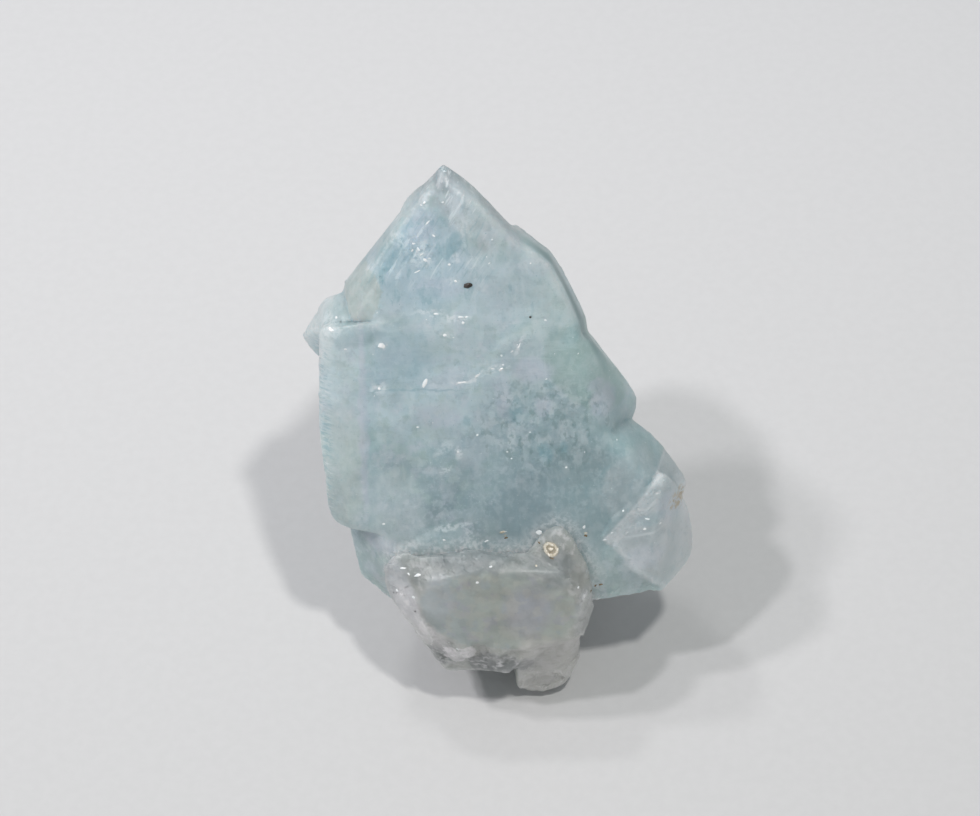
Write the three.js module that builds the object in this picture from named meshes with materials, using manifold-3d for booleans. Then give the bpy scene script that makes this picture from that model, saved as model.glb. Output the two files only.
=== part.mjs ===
// A raw aquamarine: one pointed blade of cloudy blue-green beryl with smaller crystals grown
// against it, standing on the lump of grey quartz that it grew from.
//
// Millimetres, +Z up, -Y towards the viewer. The origin is on the flat break underneath.
// The blade leans back, so its crystals are laid out in three directions of their own:
// across (to the right), back (into the blade from its broad front face) and up (along the lean).

import * as THREE from 'three';
import { ConvexGeometry } from 'three/addons/geometries/ConvexGeometry.js';
import * as BufferGeometryUtils from 'three/addons/utils/BufferGeometryUtils.js';
import Module from 'manifold-3d';

const wasm = await Module();
wasm.setup();

// Driving dimensions.
const LEAN = THREE.MathUtils.degToRad(20); // the blade tips back from upright
const FACE_FOOT = -11.8; // where the plane of the broad face would meet the ground
const TIP = 44.9; // the point, measured up the lean
const EDGE = 2.4; // the blade's sharp edge lies this far behind its broad face
const THICK = 8.8; // from the broad face to the back faces
const LEDGE = 0.5; // the left-hand growth ledge stands this proud of the face
const QUARTZ_FACE = 2.4; // the quartz's flat grey break stands this proud of the face
const RIB_PITCH = 0.9; // spacing of the growth steps down the ledge's side
const GAP = 0.3; // clearance between the aquamarine and the quartz

const AQUAMARINE_COLOUR = 0x9db8bd;
const QUARTZ_COLOUR = 0x9c9a97;

// --- Building with solids ---------------------------------------------------------------

// A point given as across, back and up the leaning blade.
function leaning([across, back, up]) {
  return new THREE.Vector3(
    across,
    FACE_FOOT + up * Math.sin(LEAN) + back * Math.cos(LEAN),
    up * Math.cos(LEAN) - back * Math.sin(LEAN),
  );
}

function upright([x, y, z]) {
  return new THREE.Vector3(x, y, z);
}

// A three.js geometry as a solid that can be joined and cut.
function solidOf(geometry) {
  geometry.deleteAttribute('normal');
  geometry.deleteAttribute('uv');
  const welded = BufferGeometryUtils.mergeVertices(geometry, 1e-4);
  return new wasm.Manifold(new wasm.Mesh({
    numProp: 3,
    vertProperties: new Float32Array(welded.attributes.position.array),
    triVerts: new Uint32Array(welded.index.array),
  }));
}

// A crystal or a fragment: the flat-faced solid stretched over its corners.
function facets(corners, place = leaning) {
  return solidOf(new ConvexGeometry(corners.map(place)));
}

function join(solids) {
  return solids.reduce((whole, solid) => whole.add(solid));
}

function cut(solid, cutters) {
  return cutters.reduce((whole, cutter) => whole.subtract(cutter), solid);
}

// A rounded hollow left where a flake broke away, turned about the vertical by its own angle.
function scoop(centre, radii, turn = 0, place = leaning, detail = 2) {
  const ball = new THREE.IcosahedronGeometry(1, detail);
  ball.scale(...radii);
  ball.rotateZ(THREE.MathUtils.degToRad(turn));
  if (place === leaning) ball.rotateX(-LEAN);
  const { x, y, z } = place(centre);
  ball.translate(x, y, z);
  return solidOf(ball);
}

// --- The aquamarine ---------------------------------------------------------------------

// The blade itself: a flattened six-sided prism that ends in a lopsided point.
function blade() {
  const face = [
    [-5, 0.15, 41.8], [-7.6, 0.05, 37.2], [-8.7, 0, 34.1], [-8.8, 0, 20.3], [-7.8, 0, 14.3],
    [5.9, 0, 13.4], [4.9, 0, 28.2], [1.9, 0, 33.6], [-0.9, 0.05, 38], [-3.2, 0.15, 41.4],
  ];
  const rounding = [
    [-4.8, 0.6, 43.7], [-6.3, 0.6, 41.8], [-7.4, 0.55, 39.9], [-8.8, 0.55, 37.8],
    [-10.1, 0.7, 36], [-3.5, 0.5, 43.8], [-1.5, 0.6, 42.1], [0.4, 0.6, 40], [2.6, 0.55, 37.6],
    [4.2, 0.5, 34.6], [5.6, 0.45, 31], [6.1, 0.5, 26],
  ];
  const leftEdge = [
    [-4.1, EDGE - 0.8, TIP], [-5.3, EDGE - 0.4, 43.3], [-6.7, EDGE - 0.2, 41.5],
    [-7.9, EDGE - 0.1, 39.6], [-9.3, EDGE, 37.6], [-10.7, EDGE + 0.2, 35.7],
    [-11, EDGE + 0.6, 34.1], [-11.4, EDGE + 0.6, 26.5], [-11.1, EDGE + 0.4, 17.8],
    [-10.6, EDGE + 0.2, 16.5], [-10.3, EDGE + 0.2, 15.1], [-10.1, EDGE, 12.7],
    [-9.6, EDGE - 0.2, 12.3], [-8.4, EDGE - 0.6, 12], [-7.3, EDGE - 1, 10.9],
  ];
  const rightEdge = [
    [-3.3, EDGE - 0.6, 44.2], [-2.3, EDGE - 0.4, 43.2], [-0.6, EDGE - 0.2, 41.1],
    [0.3, EDGE - 0.1, 40.1], [5.3, EDGE + 0.2, 31.7], [6.6, EDGE + 0.6, 24.9],
    [6.6, EDGE + 0.6, 13.6],
  ];
  const back = [
    [-3.4, THICK - 1.4, 39.2], [-7.6, THICK - 0.8, 34.6], [-9.8, THICK - 0.6, 28],
    [-9.5, THICK - 0.4, 14.5], [-6.2, THICK - 0.4, 9], [5.2, THICK - 0.6, 9.4],
    [7, THICK - 0.6, 15], [6.4, THICK - 0.4, 27], [3.8, THICK - 0.8, 33.2],
    [-0.4, THICK - 1, 37.4], [-1.8, THICK + 1.2, 33], [-1.4, THICK + 1.6, 14],
  ];
  const root = [
    [-7, 1.4, 10.4], [5.2, 1, 10.6], [-5.4, 3.4, 8.4], [4.4, 3.4, 8.6],
  ];
  return facets([...face, ...rounding, ...leftEdge, ...rightEdge, ...back, ...root]);
}

// The bulge that steps the right-hand slope of the point out.
function shoulder() {
  const edge = [
    [0.1, EDGE, 40], [0.9, EDGE + 0.2, 39.6], [1.6, EDGE + 0.2, 39.1],
    [2.2, EDGE + 0.3, 38.6], [2.9, EDGE + 0.4, 38], [3.3, EDGE + 0.4, 37.4],
    [3.7, EDGE + 0.4, 36.5], [4.3, EDGE + 0.4, 35.4], [4.8, EDGE + 0.4, 34.2],
    [5.4, EDGE + 0.4, 32.9], [5.6, EDGE + 0.4, 31.6],
  ];
  const face = [
    [0.7, 0.7, 39.6], [1.9, 0.6, 38.9], [2.9, 0.6, 37.9], [3.8, 0.55, 35.9], [4.7, 0.5, 33.6],
    [4.9, 0.45, 31.6], [1.2, 0.25, 37.6], [2.9, 0.2, 33.6], [0.4, 0.25, 35], [3, 0.2, 28],
  ];
  const back = [
    [0.6, THICK - 1.6, 37.8], [3.6, THICK - 1.4, 34.6], [4.8, THICK - 1.2, 30],
    [1, THICK - 1, 28],
  ];
  return facets([...edge, ...face, ...back]);
}

// The darker wedge low on the right slope, with one big face turned down to the right.
function flank() {
  const edge = [
    [5.7, EDGE + 0.6, 31.6], [6.1, EDGE + 0.6, 30.5], [6.4, EDGE + 0.6, 29.9],
    [7.4, EDGE + 0.6, 28.9], [8.3, EDGE + 0.6, 27.9], [8.9, EDGE + 0.6, 26.7],
    [8.9, EDGE + 0.6, 25.8], [8.6, EDGE + 0.6, 24.9],
  ];
  const face = [
    [3.2, -0.02, 31.9], [3.9, 0.02, 32.6], [4.8, 0.3, 32.9], [5.6, 1.4, 32.1], [7.2, 0.7, 26],
    [6.3, 0, 25.2], [3.6, 0, 26.7], [3, -0.02, 29.6],
  ];
  const back = [
    [4.2, THICK - 1, 30.6], [7, THICK - 1.8, 26.4], [8, THICK - 2.2, 24.2], [4, THICK - 0.8, 24],
  ];
  return facets([...edge, ...face, ...back]);
}

// The broad lobe that swells out at the lower right and overhangs the foot.
function lobe() {
  const edge = [
    [8.6, EDGE + 0.2, 25.2], [9.9, EDGE + 0.3, 24.1], [10.9, EDGE + 0.4, 22.9],
    [11.6, EDGE + 0.4, 21.8], [12.3, EDGE + 0.4, 20.7], [12.5, EDGE + 0.4, 20.1],
    [12.3, EDGE + 0.5, 19.4],
  ];
  const face = [
    [2.3, -0.05, 25.8], [6.3, -0.05, 25.7], [8.2, -0.05, 24.1], [9.4, -0.05, 22.2],
    [9.3, 0.3, 13.8], [6.6, -0.05, 13.2], [3.8, -0.05, 13.2],
  ];
  const hem = [
    [10.4, EDGE - 1, 12.2], [9.4, 0.7, 12.2], [6.6, 0.3, 12.1], [5.7, 0.3, 11.9], [4.2, 0.6, 11.4],
  ];
  const back = [
    [8.6, THICK - 1.8, 21.8], [11.4, THICK - 2.8, 18.4], [11.2, THICK - 3.2, 14],
    [8.4, THICK - 2.4, 10.6], [4.8, THICK - 1, 9.8], [4.6, THICK - 0.6, 22],
  ];
  return facets([...edge, ...face, ...hem, ...back]);
}

// The milky crystal set into the lobe's corner: a low pyramid whose sharp end points left.
function milkyCorner() {
  const crest = [
    [6.5, -0.25, 17.4], [7.3, -0.28, 19], [9.2, -0.2, 20.9], [10.8, 0.2, 22.4], [10.2, -0.14, 17.7],
  ];
  const edge = [
    [11.6, 1.4, 20.9], [12.2, EDGE + 0.4, 18.7], [12.7, EDGE + 0.7, 17.6],
    [12.9, EDGE + 0.8, 16.7], [13.1, EDGE + 1, 15.4], [13.1, EDGE + 1, 14.1],
    [12.8, EDGE + 0.8, 13.3], [11.9, EDGE, 12.4], [11, EDGE - 0.8, 11.8],
    [10.4, EDGE - 1.2, 12], [9.3, 0.3, 13.6],
  ];
  const back = [
    [12.2, THICK - 2.4, 17.6], [12.4, THICK - 3, 14.4], [10.8, THICK - 3, 12.2],
    [8, THICK - 2, 13], [8, THICK - 2, 19],
  ];
  return facets([...crest, ...edge, ...back]);
}

// The ledge on the left: a parallel crystal that stops short in one level step.
function ledge() {
  const face = [
    [-10.3, 0.15 - LEDGE, 34], [-9.2, -LEDGE, 34.2], [-7, -0.32, 34.3], [-4.3, -0.14, 34.4],
    [-2.4, -0.05, 34.3], [-0.6, 0.02, 29.4], [-10.7, 0.15 - LEDGE, 19], [-9.6, 0.05 - LEDGE, 19],
    [-8.4, 0.02, 17.4], [-6.4, 0.03, 17.8], [-2.4, 0.06, 20.4],
  ];
  const side = [
    [-11.4, -0.2, 33.8], [-12.3, 0.3, 33.5], [-12.45, 0.4, 31], [-12.55, 0.4, 25.6],
    [-12.3, 0.4, 22.4], [-12.1, 0.4, 19.6], [-11.9, 0.5, 18.7], [-11.5, 0.5, 18.1],
    [-11, 0.2, 18], [-10.5, -0.3, 18.4],
  ];
  const back = [
    [-12.1, EDGE + 2, 31.4], [-12.2, EDGE + 3, 25], [-11.8, EDGE + 2.6, 19], [-9, 3, 33.4],
    [-9, 5, 18], [-4, 2, 33],
  ];
  return facets([...face, ...side, ...back]);
}

// A thin layer of the same growth that runs on to the right and ends in a broken edge.
function growthPlate() {
  return facets([
    [-6, -0.28, 34.2], [-3.6, -0.16, 34.3], [0.4, -0.08, 34], [1.9, -0.07, 33.5],
    [1.3, -0.07, 32], [-0.2, -0.08, 30.6], [-2.9, -0.08, 29.3], [-6, -0.22, 29.1],
    [-6, 1, 34.6], [1.2, 1, 34.7], [2.4, 1, 33.2], [0.1, 1, 29.9], [-6, 1, 28],
  ]);
}

// The clear spike that points out to the left from behind the ledge.
function spike() {
  return facets([
    [-13.7, EDGE + 0.8, 31.3], [-12.15, EDGE + 0.8, 34.1], [-11.4, EDGE + 0.4, 34.6],
    [-11.35, EDGE, 34.85], [-10.6, EDGE, 35.1], [-12.7, EDGE + 0.6, 29.8], [-12.1, 0.9, 33.4],
    [-10.8, 0.35, 34], [-9.4, 0.3, 34.2], [-11.6, THICK - 2, 32.6], [-12.6, THICK - 3, 31.2],
    [-10.6, THICK - 2, 28], [-9, 4, 33], [-9, 4, 29],
  ]);
}

// A small swelling just under the point, on the left edge.
function pointSwelling() {
  return facets([
    [-5.2, EDGE - 0.5, 43.4], [-6, EDGE - 0.4, 42.85], [-6.6, EDGE - 0.3, 42.1],
    [-7, EDGE - 0.3, 41.2], [-5.4, 0.5, 42.6], [-6.6, 0.9, 40.9], [-5, 1, 40], [-5.8, 4, 39],
  ]);
}

// A pale patch where the left slope of the point is turned a little further to the left.
function slopeFacet() {
  return facets([
    [-10.75, EDGE, 35.9], [-9.25, EDGE - 0.8, 37.5], [-8.2, -0.05, 37.4], [-8.5, -0.15, 34.2],
    [-10.2, -0.1, 34.1], [-10.6, 1.2, 35.3], [-9, 4, 35], [-8, 3, 36.5],
  ]);
}

// The low frosted swelling where the blade's face runs down into the quartz.
function frostedSwelling() {
  return facets([
    [-7.6, -0.25, 16], [-6.2, -0.35, 16.9], [-4.5, -0.4, 17.3], [-3.6, -0.3, 17.6], [-2.2, -0.3, 16.6],
    [-1.5, -0.3, 15.9], [-2.4, -0.4, 14.4], [-4.5, -0.45, 14.2], [-7.2, -0.3, 14.6],
    [-8.4, 0.6, 16.4], [-3.2, 0.6, 20.2], [-0.4, 0.6, 17], [-0.8, 0.6, 13], [-7.8, 0.6, 13],
  ]);
}

// Two stout prisms grown side by side up the back, each with a slanted end.
function backPrisms() {
  const left = facets([
    [-8.2, THICK - 1, 27.6], [-7.4, THICK + 0.9, 25.4], [-3.6, THICK + 2.2, 24.2],
    [-1.6, THICK + 1.6, 26.4], [-2.4, THICK - 1, 29], [-8.4, THICK - 1, 12],
    [-7.4, THICK + 0.9, 11], [-3.6, THICK + 2.2, 10.6], [-1.2, THICK + 1.6, 10.8], [-2, THICK - 2, 9],
  ]);
  const right = facets([
    [2.2, THICK - 1, 22.6], [3.4, THICK + 1.3, 20.2], [6.2, THICK + 0.8, 19], [7.8, THICK - 1.2, 19.8],
    [7.2, THICK - 3, 21.8], [2, THICK - 1, 10.2], [3.2, THICK + 1.3, 10.6], [6, THICK + 0.8, 11],
    [7.4, THICK - 1.2, 11.6], [6.8, THICK - 3, 11.6],
  ]);
  return [left, right];
}

// A low rib of growth that stands on the back and runs up the lean, with tapered ends.
function rib(across, back, from, to, width, height) {
  const half = width / 2;
  return facets([
    [across - half, back - 1, from], [across + half, back - 1, from],
    [across - half, back - 1, to], [across + half, back - 1, to],
    [across, back + height, from + 0.4], [across, back + height, to - 0.9],
  ]);
}

// Ribs up the back: beryl grows in steps along its length.
function backRibs() {
  return [
    rib(-9, THICK - 0.7, 14, 25.5, 1.2, 0.25),
    rib(-5.6, THICK + 0.3, 15, 31, 1.1, 0.3),
    rib(-3.2, THICK + 1.6, 12, 22.4, 1, 0.5),
    rib(0.8, THICK + 0.9, 12, 29, 1.2, 0.3),
    rib(2.4, THICK + 0.6, 16, 26.4, 0.9, 0.25),
    rib(4.6, THICK + 0.7, 11.6, 18.6, 1, 0.45),
  ];
}

// The ledge's front slopes down into one shallow pane, and short growth steps rib its side.
function ledgeRelief() {
  const pane = facets([
    [-9, -2, 33.6], [-4.4, -2, 33.2], [-2.6, -2, 29.4], [-9.2, -2, 29.4],
    [-8.8, -0.46, 33.4], [-4.6, -0.16, 33.2], [-3, 0.06, 29.5], [-5.8, -0.02, 29.3],
    [-8.6, -0.22, 29.5],
  ]);
  const ribs = [];
  for (let up = 19.6; up < 33; up += RIB_PITCH) {
    const slant = 0.18 * Math.sin(up * 2.3);
    ribs.push(facets([
      [-13.2, 0.3, up + slant], [-13.2, 0.3, up + 0.34 + slant], [-11.6, -0.75, up + 0.42],
      [-11.6, -0.75, up + 0.08], [-11.9, 0.3, up + 0.2],
    ]));
  }
  return [pane, ...ribs];
}

// A flake lifted off the broad face: its corners lie on the fresh surface below.
function flake(corners) {
  const lifted = corners.map(([across, back, up]) => [across, back - 1.4, up]);
  return facets([...corners, ...lifted]);
}

// The hackly patch where the face broke, right of its middle, and a few lone flakes.
function brokenFace() {
  return [
    flake([[-0.9, 0, 28.6], [0.4, 0.05, 30.2], [2.2, 0.02, 30], [3, 0.14, 28], [1, 0.12, 26.6]]),
    flake([[1.6, 0.08, 27.8], [3.6, 0.02, 28.6], [5.1, 0.24, 26.6], [4.1, 0.2, 24.4], [2.2, 0.02, 24.6]]),
    flake([[-1.6, 0, 26], [0.6, 0.13, 26.4], [2.1, 0.14, 24.4], [0.7, 0.04, 22.7], [-1.2, 0, 23.6]]),
    flake([[3.3, 0.1, 24.4], [5.4, 0.02, 25], [6.9, 0.2, 23.4], [6.2, 0.16, 21.4], [4, 0, 21.8]]),
    flake([[-5.9, 0.14, 39.8], [-4.8, 0.26, 40.2], [-4.1, 0.24, 38.6], [-5, 0.1, 37.4]]),
  ];
}

// Rounded hollows broken out of the edges and the back.
function brokenBack() {
  return [
    scoop([-6, THICK + 5.4, 33], [5.2, 6, 4.4]),
    scoop([3.4, THICK + 4.6, 29.6], [4.2, 5.4, 3.8]),
    scoop([13.6, THICK - 0.4, 20.6], [3, 3.2, 3], 20),
    scoop([-1.4, THICK + 5.2, 18], [2.6, 4, 4.6], 10),
  ];
}

function aquamarineSolid() {
  const grown = join([
    blade(), pointSwelling(), shoulder(), flank(), lobe(), milkyCorner(), spike(), slopeFacet(),
    frostedSwelling(), ...backPrisms(), ...backRibs(),
  ]);
  const carved = cut(grown, [...brokenFace(), ...brokenBack()]);
  return join([carved, cut(ledge(), ledgeRelief()), growthPlate()]);
}

// --- The quartz -------------------------------------------------------------------------

// The front of the lump: a flat grey break inside a broad chipped rim.
function quartzFront() {
  const flat = [
    [-6, -QUARTZ_FACE, 13.8], [-5.5, -QUARTZ_FACE, 15.1], [-2.4, -QUARTZ_FACE, 15.9],
    [1, -QUARTZ_FACE, 16.2], [3.7, -QUARTZ_FACE, 16], [4.8, -QUARTZ_FACE, 13.8],
    [4.6, -QUARTZ_FACE, 10.6], [1.7, -QUARTZ_FACE, 9.7], [-2.1, -QUARTZ_FACE, 10.4],
    [-4.1, -QUARTZ_FACE, 10.6], [-5.2, -QUARTZ_FACE, 12],
  ];
  const rim = [
    [-8.2, -0.8, 14.5], [-7.9, -0.6, 12.8], [-7.3, -0.6, 11.8], [-6.3, -0.6, 9.9],
    [-5.2, -0.5, 8.3], [-4.2, 0.4, 6.2], [-2.4, 0.4, 6.2], [5.8, -1, 13.7], [6, -0.6, 11.1],
    [5.2, -0.4, 9.1], [-6.9, -0.8, 16], [-4.1, -0.8, 16.2], [-1.7, -0.8, 16.6], [1, -0.9, 16.3],
    [5.1, -0.9, 16.3],
  ];
  const heart = [
    [-7, 3, 12], [-4.6, 4, 6.4], [4.6, 4, 6.4], [5.4, 3, 12],
  ];
  return facets([...flat, ...rim, ...heart]);
}

// The horn of quartz that climbs the blade's face, and the chips along the rim below.
function quartzChips() {
  const horn = facets([
    [2.9, -1, 18.1], [3.7, -0.9, 18.6], [4.5, -1, 17.8], [5.1, -0.8, 16.4], [1.4, -0.9, 16.2],
    [5.7, -1.1, 14.7], [3.5, -2, 16.7], [4.9, -1.9, 15], [3.4, 0.8, 18], [2, 0.8, 14], [5.2, 0.8, 14],
  ]);
  const whiteChip = facets([
    [-3.9, -2.4, 10.9], [-2.9, -2.6, 11], [-2.1, -2.4, 10.6], [-1.9, -1.7, 9.1], [-2.6, -1, 8],
    [-3.6, -1, 8.3], [-4.2, -1.7, 9.7], [-2.8, -2.6, 9.6], [-2.8, 1, 10],
  ]);
  const middleChip = facets([
    [-1.5, -2.3, 10.3], [0.3, -2.5, 10.2], [1.4, -1.7, 8.7], [0.2, -0.9, 7.6], [-1.2, -1, 7.9],
    [-0.5, -2.3, 9.1], [0, 1.5, 9.5],
  ]);
  const leftRim = facets([
    [-7.9, -1.2, 13.7], [-7.2, -1.9, 14], [-6.2, -2.2, 12.6], [-5.3, -2.4, 11.2], [-4.9, -2, 9.8],
    [-5.4, -1.2, 9], [-6.6, -1.1, 10.8], [-7.5, -0.9, 12.2], [-5, 0.6, 11.6],
  ]);
  const leftCrust = facets([
    [-8.3, -0.7, 15], [-7.6, -0.9, 16.1], [-6.6, -1, 16.5], [-5.6, -1.2, 15.9], [-5.9, -2.1, 15],
    [-7.1, -1.8, 14.2], [-8, -1.2, 14.1], [-7, 1, 15.4],
  ]);
  const topRim = facets([
    [-4.4, -1.3, 16.5], [-2.6, -1.4, 16.7], [-0.8, -1.5, 16.9], [1.2, -1.3, 16.4], [0.6, -2.2, 16],
    [-1.6, -2.3, 16], [-3.8, -2.1, 15.6], [-2, 0.5, 15.6],
  ]);
  const rightRim = facets([
    [5.9, -1.3, 14], [5.5, -2, 13.9], [4.9, -2.5, 12.6], [5, -2.2, 11], [5.5, -1.4, 9.8], [6, -0.9, 11.4],
    [4, 0.6, 12],
  ]);
  return [horn, whiteChip, middleChip, leftRim, leftCrust, topRim, rightRim];
}

// The toe at the front right, which is undercut before it meets the ground.
function quartzToe() {
  return facets([
    [1.9, -7.9, 1.1], [3.5, -8.1, 1], [4.5, -7.8, 1.9], [5.3, -7.3, 3.6], [5.3, -8.1, 7.3],
    [4.7, -9.4, 9.6], [1.6, -9.5, 8.6], [1.5, -8.5, 4.4], [2.1, -5.9, 0], [3.7, -6.4, 0],
    [4.8, -5, 0], [5, -2, 0], [1.2, -2.6, 0], [1.4, -2, 8], [4.8, -2, 8],
  ], upright);
}

// The body of the lump behind, on the broad flat break that it stands on.
function quartzHeel() {
  const tread = [
    [-4.5, -2.5, 0], [-5, 1.6, 0], [-3.8, 5.4, 0], [-0.6, 6.8, 0], [2.9, 6, 0], [5.5, 2.6, 0],
    [5.1, -2.2, 0], [1, -2.9, 0],
  ];
  const girth = [
    [-5.6, -3.6, 3.6], [-6.4, 1.4, 4.6], [-5, 5.6, 3.4], [-0.8, 7.6, 3], [3.6, 6.6, 3.4],
    [6.3, 2.4, 4.4], [5.7, -3.4, 4.4],
  ];
  const crown = [
    [-6.4, -4.4, 9.4], [-6.8, 0.2, 10], [-4.4, 3.4, 9.8], [-0.6, 4.4, 10.6], [3.2, 3.8, 8.6],
    [6.1, 0.2, 9.4], [5.7, -4.2, 10],
  ];
  return facets([...tread, ...girth, ...crown], upright);
}

function quartzFractures() {
  return [
    scoop([-8.8, -2.4, 4.2], [3.4, 3.6, 3], 20, upright),
    scoop([-7.4, 6.6, 7], [3.6, 3.4, 3.4], 30, upright),
    scoop([4.8, 8.4, 5.8], [3.2, 3, 3.2], 0, upright),
    scoop([8, 1.4, 2.4], [2.6, 3, 2.2], 10, upright),
    scoop([-0.8, 9.4, 8], [2.8, 3.2, 2.6], 0, upright),
    scoop([-0.2, -8.2, 3.2], [2, 2.6, 2.4], 0, upright, 1),
    scoop([6.9, -8.8, 5.6], [1.7, 1.6, 1.5], 0, upright, 1),
  ];
}

function quartzSolid(aquamarine) {
  const ground = new THREE.BoxGeometry(60, 60, 20);
  ground.translate(0, 0, -10);
  const lump = join([quartzFront(), ...quartzChips(), quartzToe(), quartzHeel()]);
  const broken = cut(lump, [...quartzFractures(), solidOf(ground)]);
  const around = [];
  for (const axis of [0, 1, 2]) {
    for (const way of [-GAP, GAP]) {
      const shift = [0, 0, 0];
      shift[axis] = way;
      around.push(aquamarine.translate(shift));
    }
  }
  return cut(broken, [aquamarine, ...around]);
}

// --- The two pieces ---------------------------------------------------------------------

function piece(name, solid, material) {
  const { vertProperties, triVerts } = solid.getMesh();
  const geometry = new THREE.BufferGeometry();
  geometry.setAttribute('position', new THREE.BufferAttribute(vertProperties, 3));
  geometry.setIndex(new THREE.BufferAttribute(triVerts, 1));
  geometry.computeVertexNormals();
  const mesh = new THREE.Mesh(geometry, material);
  mesh.name = name;
  return mesh;
}

const aquamarine = aquamarineSolid();
const quartz = quartzSolid(aquamarine);

const stone = new THREE.Group();
stone.add(piece('aquamarine', aquamarine, new THREE.MeshStandardMaterial({
  color: AQUAMARINE_COLOUR,
  roughness: 0.35,
  metalness: 0,
  flatShading: true,
})));
stone.add(piece('quartz_matrix', quartz, new THREE.MeshStandardMaterial({
  color: QUARTZ_COLOUR,
  roughness: 0.5,
  metalness: 0,
  flatShading: true,
})));

export default stone;
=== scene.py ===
import bmesh
import bpy
import math
import random
from mathutils import Matrix, Vector, noise
from mathutils.bvhtree import BVHTree


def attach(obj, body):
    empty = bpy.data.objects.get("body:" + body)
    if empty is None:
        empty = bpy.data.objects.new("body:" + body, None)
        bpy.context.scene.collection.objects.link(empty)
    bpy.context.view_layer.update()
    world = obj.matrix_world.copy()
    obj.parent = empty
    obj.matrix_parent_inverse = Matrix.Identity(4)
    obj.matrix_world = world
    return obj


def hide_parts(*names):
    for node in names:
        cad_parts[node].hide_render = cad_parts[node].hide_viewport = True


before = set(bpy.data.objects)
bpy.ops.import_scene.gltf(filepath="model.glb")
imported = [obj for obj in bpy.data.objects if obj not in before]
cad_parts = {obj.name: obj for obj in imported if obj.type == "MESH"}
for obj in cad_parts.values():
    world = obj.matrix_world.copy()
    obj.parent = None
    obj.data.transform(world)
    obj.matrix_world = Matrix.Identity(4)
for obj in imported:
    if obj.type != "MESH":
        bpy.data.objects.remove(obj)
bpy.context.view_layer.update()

# --- The aquamarine ------------------------------------------------------------------------
# One blade of beryl with smaller crystals grown against it, cloudy blue-green and lit from
# within. It grew in steps along its length, so its faces are finely ribbed, and where it was
# broken out of the rock its surface is hackly and its thin edges are nibbled and pale.

MM = 0.001
LEAN = math.radians(20)
FACE_FOOT = -11.8
OUTWARD_LIMIT = 0.06
CREASE_ROUNDS = 24
BERYL_RUBBING = 36
EDGE_SPREAD = 0.3


def along_blade(place):
    """A world place in metres as across, back and up the leaning blade, in millimetres."""
    x, y, z = place / MM
    y -= FACE_FOOT
    return Vector((
        x,
        y * math.cos(LEAN) - z * math.sin(LEAN),
        y * math.sin(LEAN) + z * math.cos(LEAN),
    ))


def on_blade(across, back, up):
    """The world place in metres of a point given across, back and up the blade."""
    return MM * Vector((
        across,
        FACE_FOOT + up * math.sin(LEAN) + back * math.cos(LEAN),
        up * math.cos(LEAN) - back * math.sin(LEAN),
    ))


def show(thing):
    """Puts a new object into the scene."""
    bpy.context.scene.collection.objects.link(thing)


def fine_skin(node, octree_depth, octree_scale):
    """An evenly meshed copy of a solid, its sharp edges kept."""
    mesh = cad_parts[node].data.copy()
    skin = bpy.data.objects.new(node + "_skin", mesh)
    show(skin)
    weld = bmesh.new()
    weld.from_mesh(mesh)
    bmesh.ops.remove_doubles(weld, verts=weld.verts, dist=1e-6)
    weld.to_mesh(mesh)
    weld.free()
    even = skin.modifiers.new("even faces", "REMESH")
    even.mode = "SHARP"
    even.octree_depth = octree_depth
    even.scale = octree_scale
    soften = skin.modifiers.new("worn edges", "SMOOTH")
    soften.factor = 0.5
    soften.iterations = 2
    depsgraph = bpy.context.evaluated_depsgraph_get()
    skin.data = bpy.data.meshes.new_from_object(skin.evaluated_get(depsgraph))
    skin.modifiers.clear()
    return skin


def ease(bm, verts):
    """Moves vertices of a mesh half of the way to the middle of their neighbours."""
    bmesh.ops.smooth_vert(
        bm, verts=verts, factor=0.5, use_axis_x=True, use_axis_y=True, use_axis_z=True)


def edge_sharpness(mesh, rounds=6):
    """How far each vertex stands out from its smoothed surroundings, in millimetres."""
    bm = bmesh.new()
    bm.from_mesh(mesh)
    start = [vertex.co.copy() for vertex in bm.verts]
    outward = [vertex.normal.copy() for vertex in bm.verts]
    for _ in range(rounds):
        ease(bm, bm.verts)
    stand = [
        (before - vertex.co).dot(normal) / MM
        for before, vertex, normal in zip(start, bm.verts, outward)
    ]
    bm.free()
    return stand


def fade(value, low, high):
    """0 at low, 1 at high and smooth between; low may be the larger of the two."""
    share = min(1, max(0, (value - low) / (high - low)))
    return share * share * (3 - 2 * share)


def blot(place, centre, reach, turn=0):
    """1 inside a soft ellipse on the blade's front, seen across and up, and 0 outside."""
    across, up = place.x - centre[0], place.z - centre[1]
    angle = math.radians(turn)
    along = across * math.cos(angle) + up * math.sin(angle)
    aside = up * math.cos(angle) - across * math.sin(angle)
    return fade(math.hypot(along / reach[0], aside / reach[1]), 1.25, 0.75)


def hackle(point, size):
    """Height of the small flat fracture facet that a point lies on, from about -1 to 1."""
    spot = point / size
    centre = noise.voronoi(spot)[1][0]
    tilt = noise.cell_vector(centre * 97) - Vector((0.5, 0.5, 0.5))
    return 1.6 * tilt.dot(spot - centre) + 1.2 * tilt.x


def rub_down(skin, rounds, softness):
    """Smooths a skin round by round, for longer where the softness of a place is higher."""
    bm = bmesh.new()
    bm.from_mesh(skin.data)
    last_rounds = [rounds * softness(along_blade(vertex.co)) for vertex in bm.verts]
    for step in range(rounds):
        chosen = [vertex for vertex, last in zip(bm.verts, last_rounds) if step < last]
        ease(bm, chosen)
    bm.to_mesh(skin.data)
    bm.free()


def in_crease(place):
    """The foot of the slope above the ledge, where the crystal is in one piece with its step."""
    return -12.4 < place.x < -6.5 and place.y < 1.6 and 33.4 < place.z < 35


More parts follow.
